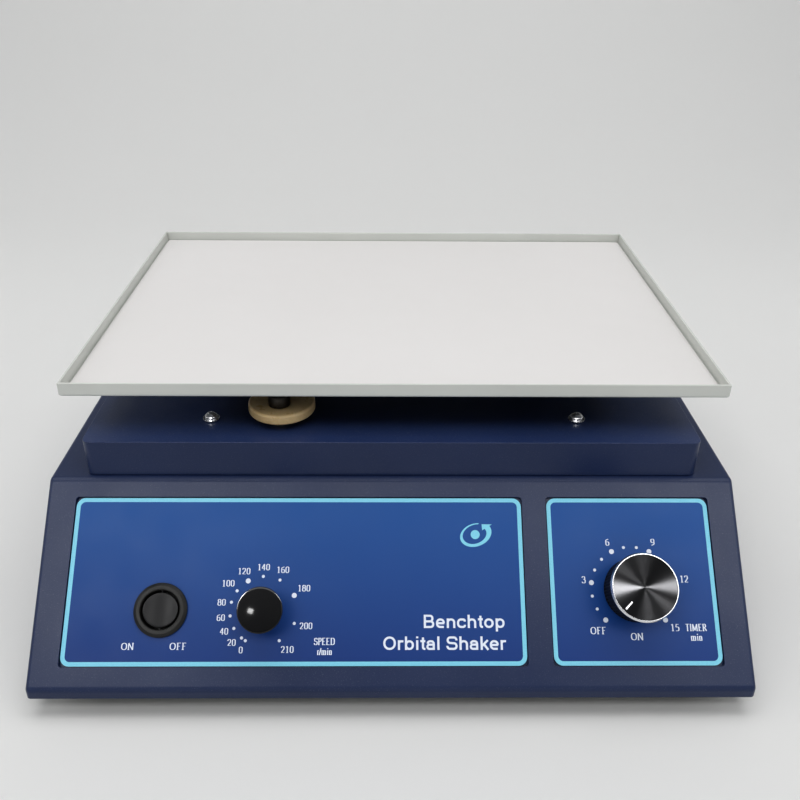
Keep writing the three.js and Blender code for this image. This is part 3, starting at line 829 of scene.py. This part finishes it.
# ---- Round rocker switch ----
bezel = soften(
    [(0, -20), (9.8, -20), (9.8, -0.4), (BEZEL_R, -0.4), (BEZEL_R, 0.35), (10.6, 1.35), (9.1, 1.35),
     (8.65, 0.9), (8.65, -8), (0, -8)],
    [0, 0.3, 0.1, 0.2, 0.5, 0.7, 0.35, 0.2, 0.2, 0],
    5,
)
make(
    "switch_bezel",
    lathe(bezel, 96),
    "base",
    BLACK,
    at=on_slope(*SWITCH_AT),
    stands_for=["switch_body"],
)
crown = [(0, -2.6), (6.9, -2.6), (7.7, -1.2), (7.7, 1.1)]
tenths = [t * math.pi / 10 for t in range(1, 6)]
crown += [(7.7 - 0.6 * (1 - math.cos(t)), 1.1 + 0.5 * math.sin(t)) for t in tenths]
crown += [(7.1 * (1 - t / 12), 1.6) for t in range(1, 13)]
rocker = lathe(crown, 96)
# The rocker's face is hollow, deepest along its axle.
for vert in rocker.verts:
    if vert.co.z > 1.0:
        vert.co.z += vert.co.x**2 / 34 - 0.8
trunnion = rod(0.6, -9.1, 9.1, 20)
turned_axes(trunnion, Matrix.Translation((0, 0, -1.6)) @ Matrix.Rotation(math.pi / 2, 4, "X"))
make(
    "rocker_cap",
    joined(rocker, trunnion),
    "rocker",
    ROCKER,
    at=on_slope(*SWITCH_AT, -0.5) @ Matrix.Rotation(math.radians(10), 4, "Y"),
    sharp=50,
    stands_for=["power_rocker"],
)

# ---- Speed knob ----
CROWN_R, CROWN_Z, CROWN_RISE = 9.2, 12.5, 0.8
dome = soften(
    [(0, 9.2), (3.15, 9.2), (3.15, 2.4), (5, 2.4), (5, 0), (8.2, 0), (8.5, 2.5), (9.4, 7), (10, 10.4),
     (10, 12.1), (CROWN_R, CROWN_Z)],
    [0, 0, 0, 0, 0.2, 0.4, 8, 12, 0.7, 0.6, 0],
    6,
)
for t in range(1, 17):
    out = 1 - t / 16
    dome.append((CROWN_R * out, CROWN_Z + CROWN_RISE * (1 - out**2)))
speed_cap = make(
    "speed_knob_cap",
    lathe(dome, 96),
    "speed_dial",
    GLOSS,
    at=on_slope(*SPEED_AT, KNOB_SEAT),
    sharp=50,
    stands_for=["speed_knob"],
)

# ---- Timer knob ----
body_profile = [(0, 10), (3.15, 10), (3.15, 2.4), (6, 2.4), (6, 0)]
body_profile += soften([(6, 0), (13.9, 0), (13.9, 1.4), (TIMER_GRIP_R, 1.7)], [0, 0.3, 0.1, 0], 3)[1:]
heights = (2.0, 2.4, TIMER_KNOB_H - 0.8, TIMER_KNOB_H - 0.4, TIMER_KNOB_H)
body_profile += [(TIMER_GRIP_R, h) for h in heights]
body_profile += [(12.9, TIMER_KNOB_H), (12.9, TIMER_KNOB_H - 1), (0, TIMER_KNOB_H - 1)]


def grip(angle, radius, height):
    """The 60 grip lines round the timer knob."""
    if radius > 14.1 and 2.2 < height < TIMER_KNOB_H - 0.6:
        return radius - 0.42 * (0.5 + 0.5 * math.cos(angle * 60)) ** 0.7
    return radius


make(
    "timer_knob_grip",
    lathe(body_profile, 480, grip),
    "timer_dial",
    GRIP,
    at=on_slope(*TIMER_AT, KNOB_SEAT),
    sharp=50,
    stands_for=["timer_knob"],
)
cap_seat = KNOB_SEAT + TIMER_KNOB_H - 0.8
face = [(0, 0), (12.6, 0), (12.6, 1.1), (TIMER_FACE_R, 1.1), (TIMER_FACE_R, 2.4)]
DISH = 0.7
face += [(TIMER_FACE_R * (1 - t / 10), 2.4 - DISH * t / 10) for t in range(1, 11)]
timer_face = make(
    "timer_face",
    lathe(face, 128),
    "timer_dial",
    SPUN,
    at=on_slope(*TIMER_AT, cap_seat),
    sharp=40,
    stands_for=["timer_knob_cap"],
)
rim = soften(
    [(14.15, 1.1), (15, 1.1), (15, 1.7), (14.45, 2.6), (14.15, 2.6)],
    [0, 0.1, 0.12, 0.1, 0],
    3,
    closed=True,
)
make(
    "timer_rim",
    ring_lathe(rim, 128),
    "timer_dial",
    ALUMINIUM,
    at=on_slope(*TIMER_AT, cap_seat),
)
mark = moved(prism(rounded_box(8.8, 13.1, -0.36, 0.36, 0.1, 2), 1.9, 2.55), turn=math.radians(225))
make(
    "timer_mark",
    mark,
    "timer_dial",
    ALUMINIUM,
    at=on_slope(*TIMER_AT, cap_seat),
    stands_for=["timer_pointer"],
)

# ---- Printing on the panels: thin closed slabs of ink ----
INK_LOW = LABEL_TOP + 0.02
INK_HIGH = LABEL_TOP + 0.05

# Letters as pen strokes on a grid where capitals are 100 high: the advance, then for each stroke
# its corner radius (or one for each inner corner) and its points; z closes a loop.
SANS = {
    "O": "108; 39 14,8 94,8 94,92 14,92 z",
    "B": "100; 0 18,0 18,100; 20 18,8 82,8 82,50 18,50; 18 18,50 76,50 76,92 18,92",
    "S": "93; 20 80,70 80,92 13,92 13,52 80,48 80,8 10,8 10,30",
    "a": "77; 0 60,0 60,50; 18 60,30 60,64 14,64 14,46; 15 60,39 12,39 12,8 60,8",
    "b": "85; 0 18,0 18,100; 25 18,8 70,8 70,64 18,64 z",
    "c": "77; 12/24/24/12 64,48 64,64 12,64 12,8 64,8 64,24",
    "e": "77; 0 12,36 68,36; 24 64,36 64,64 12,64 12,8 64,8",
    "h": "85; 0 18,0 18,100; 22 18,40 18,64 67,64 67,0",
    "i": "39; 0 19,0 19,72; 0 19,86 19,100",
    "k": "77; 0 18,0 18,100; 0 66,72 22,30; 0 34,44 68,0",
    "l": "39; 0 19,0 19,100",
    "n": "85; 0 18,0 18,72; 22 18,40 18,64 67,64 67,0",
    "o": "85; 27 14,8 71,8 71,64 14,64 z",
    "p": "85; 0 18,-26 18,72; 25 18,8 70,8 70,64 18,64 z",
    "r": "54; 0 18,0 18,72; 18 18,36 18,64 52,64",
    "t": "46; 12 24,92 24,8 42,8; 0 4,65 42,65",
}
SERIF = {
    "0": "75; 23 13,4 61,4 61,96 13,96 z",
    "1": "75; 0 38,3 38,98; 0 18,84 38,97; 0 20,3 56,3",
    "2": "75; 18 12,74 12,96 56,96 56,58 12,5; 0 12,5 64,5",
    "3": "75; 15 14,78 14,96 54,96 54,54 30,54; 15 30,54 60,54 60,4 12,4 12,22",
    "4": "75; 0 48,0 48,98; 0 48,98 8,32; 0 8,30 66,30",
    "5": "75; 0 60,95 22,95 16,56; 20 16,56 60,60 60,4 12,4",
    "6": "75; 20 58,96 14,80 14,4 62,4 62,56 14,56",
    "8": "75; 18 16,54 58,54 58,96 16,96 z; 20 12,4 62,4 62,54 12,54 z",
    "9": "75; 20 17,4 61,20 61,96 13,96 13,44 61,44",
    "D": "109; 0 26,3 26,97; 40 8,97 92,97 92,3 8,3",
    "E": "92; 0 24,3 24,97; 0 8,97 80,97; 0 24,52 64,52; 0 8,3 84,3",
    "F": "84; 0 24,3 24,97; 0 8,97 74,97; 0 24,52 60,52; 0 8,3 42,3",
    "I": "50; 0 25,3 25,97; 0 9,97 41,97; 0 9,3 41,3",
    "M": "134; 0 22,3 22,97; 0 110,3 110,97; 0 22,97 64,10; 0 64,10 110,97; 0 8,3 36,3; 0 94,3 126,3",
    "N": "109; 0 20,3 20,97; 0 88,0 88,97; 0 20,97 88,0; 0 6,3 34,3; 0 74,97 102,97",
    "O": "109; 39 14,4 94,4 94,96 14,96 z",
    "P": "84; 0 24,3 24,97; 22 8,97 72,97 72,50 24,50; 0 8,3 42,3",
    "R": "101; 0 24,3 24,97; 22 8,97 74,97 74,52 24,52; 0 44,52 90,3; 0 8,3 42,3",
    "S": "84; 18 68,76 68,96 16,96 16,54 70,46 70,4 12,4 12,26",
    "T": "92; 0 46,3 46,97; 0 8,97 84,97; 0 30,3 62,3",
    "i": "42; 0 21,3 21,68; 0 10,3 32,3; 0 21,84 21,98",
    "m": "117; 0 18,3 18,68; 16 18,42 18,64 56,64 56,3; 16 56,42 56,64 94,64 94,3; 0 8,3 104,3",
    "n": "75; 0 18,3 18,68; 16 18,42 18,64 56,64 56,3; 0 8,3 66,3",
    "r": "50; 0 20,3 20,68; 14 20,42 20,64 46,64; 0 8,3 34,3",
    "/": "42; 0 4,-2 38,100",
}
SANS_PEN = (17, 16)
SERIF_PEN = (17, 8)
SPACE = 39


def strip(left, right, low, high, closed=False):
    """A closed slab between two lines with the same number of points."""
    bm = bmesh.new()
    rows = []
    for a, b in zip(left, right):
        rows.append([bm.verts.new((*xy, z)) for xy, z in ((a, low), (b, low), (b, high), (a, high))])
    for one, two in zip(rows, rows[1:] + rows[:1] if closed else rows[1:]):
        for i in range(4):
            j = (i + 1) % 4
            bm.faces.new((one[i], one[j], two[j], two[i]))
    if not closed:
        bm.faces.new(rows[0])
        bm.faces.new(rows[-1][::-1])
    return bm


def pen_stroke(points, pen, closed, high):
    """A broad-nibbed line: pen[0] wide where it runs upright, pen[1] where it runs level."""
    count = len(points)
    left, right = [], []
    for i, point in enumerate(points):
        before = Vector(points[i - 1] if closed or i else point)
        after = Vector(points[(i + 1) % count] if closed or i < count - 1 else point)
        way = (after - before).normalized()
        half = (pen[1] + (pen[0] - pen[1]) * abs(way.y)) / 2
        side = Vector((-way.y, way.x)) * half
        left.append(tuple(Vector(point) + side))
        right.append(tuple(Vector(point) - side))
    return strip(left, right, INK_LOW, high, closed)


def lettering(font, pen, text, x, s, height, width):
    """A word centred on a point of the slope."""
    glyphs = [font[letter].split(";") if letter != " " else [str(SPACE)] for letter in text]
    across = width / sum(float(glyph[0]) for glyph in glyphs)
    rise = height / 100
    nib = [rise * w for w in pen]
    cursor = x - width / 2
    slabs = []
    for glyph in glyphs:
        for k, stroke in enumerate(glyph[1:]):
            radii, *tokens = stroke.split()
            closed = tokens[-1] == "z"
            grid = [token.split(",") for token in tokens if token != "z"]
            corners = [(cursor + float(u) * across, s - height / 2 + float(v) * rise) for u, v in grid]
            each = [float(r) * min(across, rise) for r in radii.split("/")]
            line = soften(corners, [0, *each, 0] if len(each) > 1 else each[0], 6, closed)
            slabs.append(pen_stroke(line, nib, closed, INK_HIGH + 0.003 * k))
        cursor += float(glyph[0]) * across
    return joined(*slabs)


def dot(x, s, radius):
    return moved(prism(circle(radius, 24), INK_LOW, INK_HIGH), x, s)


def around(centre, radius, clockwise_from_up):
    """A point of a dial, its turn in degrees."""
    t = math.radians(90 - clockwise_from_up)
    return centre[0] + radius * math.cos(t), centre[1] + radius * math.sin(t)


for side, (x0, x1) in LABELS.items():
    outer = rounded_box(x0, x1, s0, s1, 4, 6)
    inner = rounded_box(x0 + 1.9, x1 - 1.9, s0 + 1.9, s1 - 1.9, 2.3, 6)
    border = strip(outer, inner, INK_LOW, INK_HIGH, closed=True)
    make("border_" + side, border, "base", CYAN_INK, at=SLOPE)

SPEED_SCALE = {
    0: -150, 20: -142, 40: -121, 60: -99, 80: -76, 100: -55,
    120: -30, 140: -3, 160: 27, 180: 64, 200: 112, 210: 150,
}
SPEED_TEXT = {
    "0": (-67.4, 17.0), "20": (-71.6, 20.2), "40": (-75.2, 25.0), "60": (-77.0, 30.9),
    "80": (-77.0, 37.6), "100": (-74.5, 46.0), "120": (-67.6, 51.4), "140": (-58.8, 53.2),
    "160": (-50.0, 52.0), "180": (-40.2, 43.8), "200": (-38.8, 27.3), "210": (-46.8, 17.2),
}
SMALL_DOT, LARGE_DOT = 0.7, 1.15
ink = []
for speed, turn in SPEED_SCALE.items():
    size = LARGE_DOT if speed in (120, 180) else SMALL_DOT
    ink.append(dot(*around(SPEED_SCALE_AT, 15.05, turn), size))
for text, at in SPEED_TEXT.items():
    ink.append(lettering(SERIF, SERIF_PEN, text, *at, 2.85, 1.95 * len(text)))
for word, *rest in (
    ("SPEED", -30.4, 20.6, 3.0, 9.4),
    ("r/min", -30.3, 16.3, 2.9, 6.8),
    ("ON", -117.5, 18.6, 3.0, 5.8),
    ("OFF", -95.2, 18.6, 3.0, 7.7),
):
    ink.append(lettering(SERIF, SERIF_PEN, word, *rest))
ink.append(lettering(SANS, SANS_PEN, "Orbital Shaker", 23.0, 19.8, 5.8, 55.2))
ink.append(lettering(SANS, SANS_PEN, "Benchtop", 31.9, 29.2, 5.8, 37.2))
make("print_left", joined(*ink), "base", WHITE_INK, at=SLOPE)

ink = []
for minute in range(16):
    size = SMALL_DOT if minute % 3 else LARGE_DOT
    ink.append(dot(*around(TIMER_SCALE_AT, 19.1, -135 + 18 * minute), size))
TIMER_TEXT = {
    "3": (87.0, 47.5), "6": (99.0, 64.5), "9": (120.0, 64.5), "12": (133.0, 47.8), "15": (126.8, 26.4),
}
for text, at in TIMER_TEXT.items():
    ink.append(lettering(SERIF, SERIF_PEN, text, *at, 3.1, 2.1 * len(text)))
for word, *rest in (
    ("OFF", 92.1, 25.1, 3.1, 7.2),
    ("ON", 109.4, 22.5, 3.1, 5.8),
    ("TIMER", 136.3, 26.4, 3.1, 9.7),
    ("min", 136.1, 22.2, 3.0, 5.4),
):
    ink.append(lettering(SERIF, SERIF_PEN, word, *rest))
make("print_right", joined(*ink), "base", WHITE_INK, at=SLOPE)


# A plain orbit sign: a tilted open ring that thickens towards its arrow head, and a disc inside.
def orbit_sign(x, s, reach, lean):
    steps = 48
    start, end = math.radians(60), math.radians(375)
    squash = 0.72
    c, w = math.cos(lean), math.sin(lean)

    def at(t, radius):
        u, v = radius * math.cos(t), radius * squash * math.sin(t)
        return x + u * c - v * w, s + u * w + v * c

    outer, inner = [], []
    for i in range(steps + 1):
        t = start + (end - start) * i / steps
        grow = 0.3 + 1.0 * i / steps
        outer.append(at(t, reach + grow))
        inner.append(at(t, reach - grow))
    ring = strip(outer, inner, INK_LOW, INK_HIGH)
    head = [at(end, reach + 2.7), at(end + 0.55, reach), at(end, reach - 2.7)]
    return joined(ring, prism(head, INK_LOW, INK_HIGH + 0.003), dot(x, s, 2.1))


make("orbit_sign", orbit_sign(38.0, 68.0, 6.6, 0.35), "base", CYAN_INK, at=SLOPE)

# ---- Feet ----
for (x, y), tag in zip(FEET, CORNER_TAGS):
    profile = soften(
        [(0, 3), (4.5, 3), (4.5, 0), (9.8, 0), (12, 9.7), (0, 9.7)],
        [0, 0.3, 0.5, 1.0, 0.6, 0],
        5,
    )
    make(
        "rubber_foot_" + tag,
        lathe(profile, 64),
        "base",
        RUBBER,
        at=place(x, y),
        stands_for=["foot_" + tag],
    )
    head = moved(pan_head(3.4, 1.6), turn=0.4 + x * 0.01)
    turned_axes(head, Matrix.Rotation(math.pi, 4, "X"))
    make("foot_screw_" + tag, head, "base", CHROME, at=place(x, y, 2.95))

# ---- Rear inlet and fuse ----
face_y = BACK_Y + 2.4
flange = rounded_box(INLET_X - 25, INLET_X + 25, REAR_Z - 11.5, REAR_Z + 11.5, 4)
barrel = rounded_box(INLET_X - 13.5, INLET_X + 13.5, REAR_Z - 9.8, REAR_Z + 9.8, 1.6)
w, h = 12.2, 8.2
corners = ((-w, -h), (w, -h), (w, h - 4), (w - 4, h), (4 - w, h), (-w, h - 4))
mouth = soften([(INLET_X + x, REAR_Z + z) for x, z in corners], 1, 4, closed=True)
holes = []
for x in (-20, 20):
    hole = lathe([(0, -6), (1.7, -6), (1.7, 0.8), (3.3, 2.5), (3.3, 4), (0, 4)], 32)
    turned_axes(hole, Matrix.Rotation(-math.pi / 2, 4, "X"))
    holes.append(moved(hole, INLET_X + x, BACK_Y, REAR_Z))
shell = carved(
    prism_y(flange, BACK_Y + 0.3, face_y),
    [prism_y(barrel, BACK_Y - 18, BACK_Y + 0.8)],
    "UNION",
)
shell = carved(shell, [prism_y(mouth, BACK_Y - 15, face_y + 2), *holes])
make(
    "inlet_shell",
    shell,
    "base",
    BLACK,
    edge=0.25,
    stands_for=["power_inlet"],
)
blades = []
for x, z in ((-7, -1.5), (0, 2.5), (7, -1.5)):
    outline = rounded_box(INLET_X + x - 1, INLET_X + x + 1, REAR_Z + z - 2, REAR_Z + z + 2, 0.3, 2)
    blades.append(prism_y(outline, BACK_Y - 16, face_y - 5))
make("inlet_blades", joined(*blades), "base", ALUMINIUM, edge=0.3)
for x, tag in ((-20, "l"), (20, "r")):
    head = carved(
        lathe(soften([(0, 0), (1.5, 0), (3.0, 1.5), (3.0, 1.7), (0, 1.9)], [0, 0, 0, 0.1, 0], 2), 40),
        [moved(cutter, z=1.9) for cutter in phillips(1.9, 1.2)],
    )
    at = place(INLET_X + x, BACK_Y + 0.5, REAR_Z) @ Matrix.Rotation(-math.pi / 2, 4, "X")
    make("inlet_screw_" + tag, head, "base", CHROME, at=at)


def ribbed(angle, radius, height):
    """The 24 ribs round the fuse cap."""
    if 6.3 < radius < 7.2 and height > 1.3:
        return radius - 0.18 * (0.5 + 0.5 * math.cos(angle * 24))
    return radius


fuse = lathe(
    soften(
        [(0, -22), (6.2, -22), (6.2, 0.3), (9, 0.3), (9, 1.15), (7, 1.35), (6.7, 2.35), (0, 2.4)],
        [0, 0, 0.1, 0.3, 0.3, 0.1, 0.25, 0],
        3,
    ),
    144,
    ribbed,
)
fuse = carved(fuse, [prism(rounded_box(-4.5, 4.5, -0.6, 0.6, 0.2, 2), 1.5, 5)])
make(
    "fuse_cap",
    fuse,
    "base",
    BLACK,
    at=place(FUSE_X, BACK_Y, REAR_Z) @ Matrix.Rotation(-math.pi / 2, 4, "X"),
    sharp=40,
    stands_for=["fuse_holder"],
)


# ---- Stage: floor sweep, lights and camera ----
def backdrop():
    """A pale floor that curves up into a wall behind the object."""
    bm = bmesh.new()
    line = [(-2.2, 0.0), (0.55, 0.0)]
    for i in range(1, 25):
        t = math.pi / 2 * i / 24
        line.append((0.55 + 0.6 * math.sin(t), 0.6 - 0.6 * math.cos(t)))
    line.append((1.15, 2.6))
    rows = [[bm.verts.new((x, y, z)) for x in (-3.0, 3.0)] for y, z in line]
    for a, b in zip(rows, rows[1:]):
        bm.faces.new((a[0], a[1], b[1], b[0]))
    mesh = bpy.data.meshes.new("backdrop")
    bm.to_mesh(mesh)
    bm.free()
    mesh.polygons.foreach_set("use_smooth", [True] * len(mesh.polygons))
    obj = bpy.data.objects.new("backdrop", mesh)
    SCENE.collection.objects.link(obj)
    look = Look("pale_floor", (0.82, 0.82, 0.81, 1), 0.55)
    look.link("Roughness", look.span(look.noise(5, 3), 0.5, 0.6))
    mesh.materials.append(look.material)
    return obj


floor = backdrop()


def softbox(name, where, aim, size, power):
    light = bpy.data.lights.new(name, "AREA")
    light.shape = "RECTANGLE"
    light.size, light.size_y = size
    light.energy = power
    obj = bpy.data.objects.new(name, light)
    SCENE.collection.objects.link(obj)
    obj.location = where
    obj.rotation_euler = (Vector(aim) - Vector(where)).to_track_quat("-Z", "Y").to_euler()
    return obj


def link_light(light, state, *pieces, shade=False):
    """Keeps a light off some pieces, or for them alone; with shade, it is about their shadows."""
    group = bpy.data.collections.new(light.name + "_pieces")
    for piece in pieces:
        group.objects.link(piece)
    if shade:
        light.light_linking.blocker_collection = group
    else:
        light.light_linking.receiver_collection = group
    for item in group.collection_objects:
        item.light_linking.link_state = state


softbox("overhead", (0.0, 0.12, 1.3), (0, 0.05, 0), (1.6, 0.9), 5.5)
softbox("left_wall", (-1.1, -0.1, 0.55), (0, 0, 0.1), (1.0, 0.7), 2.0)
softbox("right_wall", (1.1, -0.1, 0.55), (0, 0, 0.1), (1.0, 0.7), 2.0)
softbox("wall_wash", (0, 0.1, 2.0), (0, 1.1, 0.5), (2.6, 0.5), 6.0)
for light in (
    softbox("front_left", (-0.5, -0.6, 0.7), (-0.12, -0.1, 0.05), (0.35, 0.35), 0.9),
    softbox("front_right", (0.5, -0.6, 0.7), (0.12, -0.1, 0.05), (0.35, 0.35), 1.0),
    softbox("front_wall", (0, -1.6, 0.4), (0, 0, 0.1), (2.0, 0.6), 2.2),
):
    link_light(light, "EXCLUDE", speed_cap, timer_face, deck_shell, floor)
front_top = softbox("front_top", (0.0, -0.75, 1.1), (0, -0.1, 0.05), (1.3, 0.3), 2.9)
link_light(front_top, "EXCLUDE", speed_cap, timer_face)
deck_fill = softbox("deck_fill", (0, -0.2, 1.3), (0, 0, 0.1), (1.0, 0.6), 2.5)
link_light(deck_fill, "INCLUDE", deck_shell)
link_light(deck_fill, "EXCLUDE", tray_shell, mat_piece, shade=True)
fold_light = softbox("fold_light", (0, -0.5, 1.1), (0, -0.07, 0.1), (1.4, 0.5), 9.0)
link_light(fold_light, "INCLUDE", deck_shell)
screw_glint = softbox("screw_glint", (-0.2, -1.2, 0.9), (0, -0.05, 0.1), (0.4, 0.3), 9.0)
link_light(screw_glint, "INCLUDE", *deck_screws)
softbox("lamp", (-0.439, -0.952, 0.97), (-0.058, -0.118, 0.04), (0.12, 0.1), 0.55)
KNOB_AT = (-0.058, -0.118, 0.04)
TIMER_FACE_AT = (0.109, -0.111, 0.06)
for light in (
    softbox("side_glint", (0.953, -0.634, 0.732), TIMER_FACE_AT, (0.1, 0.24), 16),
    softbox("ceiling_glint", (-0.01, -0.55, 1.23), TIMER_FACE_AT, (0.25, 0.25), 2.6),
    softbox("top_glint", (0.421, -0.439, 1.17), TIMER_FACE_AT, (0.03, 0.3), 0.8),
):
    link_light(light, "INCLUDE", timer_face)
for light in (
    softbox("left_edge", (-1.0, 0.2, 0.5), KNOB_AT, (0.6, 1.0), 55),
    softbox("right_edge", (0.9, 0.3, 0.8), KNOB_AT, (0.4, 0.7), 34),
):
    link_light(light, "INCLUDE", speed_cap)
world = bpy.data.worlds.new("studio")
world.use_nodes = True
sky = world.node_tree.nodes["Background"]
sky.inputs["Color"].default_value = (0.95, 0.97, 1.0, 1)
sky.inputs["Strength"].default_value = 0.16
SCENE.world = world
SCENE.view_settings.view_transform = "Standard"
SCENE.view_settings.look = "Medium High Contrast"

# The camera, fitted to the straight edges that the photo shows.
CAMERA_AT = (-0.00236, -0.4007, 0.3074)
PITCH, YAW, ROLL = 0.5153, 0.0161, 0.0105
forward = Vector((math.sin(YAW) * math.cos(PITCH), math.cos(YAW) * math.cos(PITCH), -math.sin(PITCH)))
level = Vector((math.cos(YAW), -math.sin(YAW), 0))
upright = level.cross(forward)
right = level * math.cos(ROLL) + upright * math.sin(ROLL)
up = -level * math.sin(ROLL) + upright * math.cos(ROLL)
camera = bpy.data.cameras.new("camera")
camera.lens = 37.98
camera.sensor_width = 36
camera.clip_start = 0.02
viewer = bpy.data.objects.new("camera", camera)
SCENE.collection.objects.link(viewer)
turn = Matrix((right, up, -forward)).transposed().to_4x4()
viewer.matrix_world = Matrix.Translation(CAMERA_AT) @ turn
SCENE.camera = viewer

bpy.context.view_layer.update()
